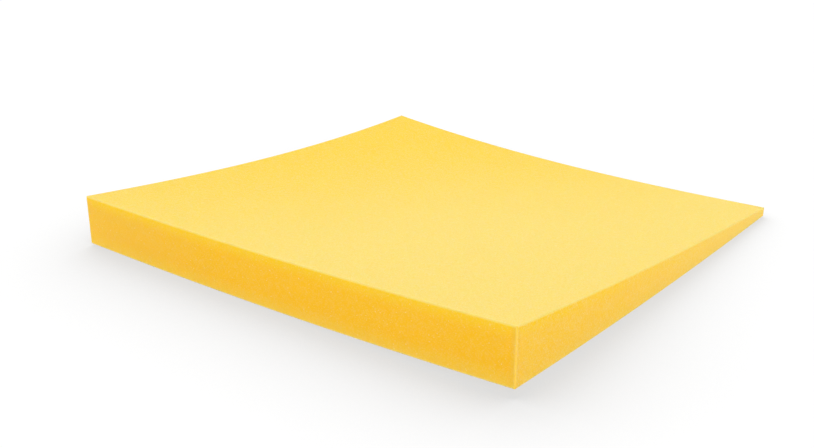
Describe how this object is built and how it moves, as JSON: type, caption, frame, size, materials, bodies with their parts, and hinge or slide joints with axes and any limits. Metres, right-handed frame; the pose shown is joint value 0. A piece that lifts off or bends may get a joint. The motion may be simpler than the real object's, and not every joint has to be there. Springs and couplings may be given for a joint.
{
  "type": "acoustic foam panel",
  "caption": "Square open-cell foam wedge that absorbs sound: flat back for gluing to a wall, and a plain face that slopes from a thick edge to a thin edge.",
  "frame": {"origin": "middle of the flat back's outline", "axes": "+Z out of the back towards the absorbing face, +X along the thick edge, +Y from the thick edge to the thin edge"},
  "size_m": [0.5, 0.5, 0.0499],
  "materials": {
    "foam": "matte"
  },
  "bodies": {
    "root": {"foam_panel": "foam"}
  },
  "joints": []
}
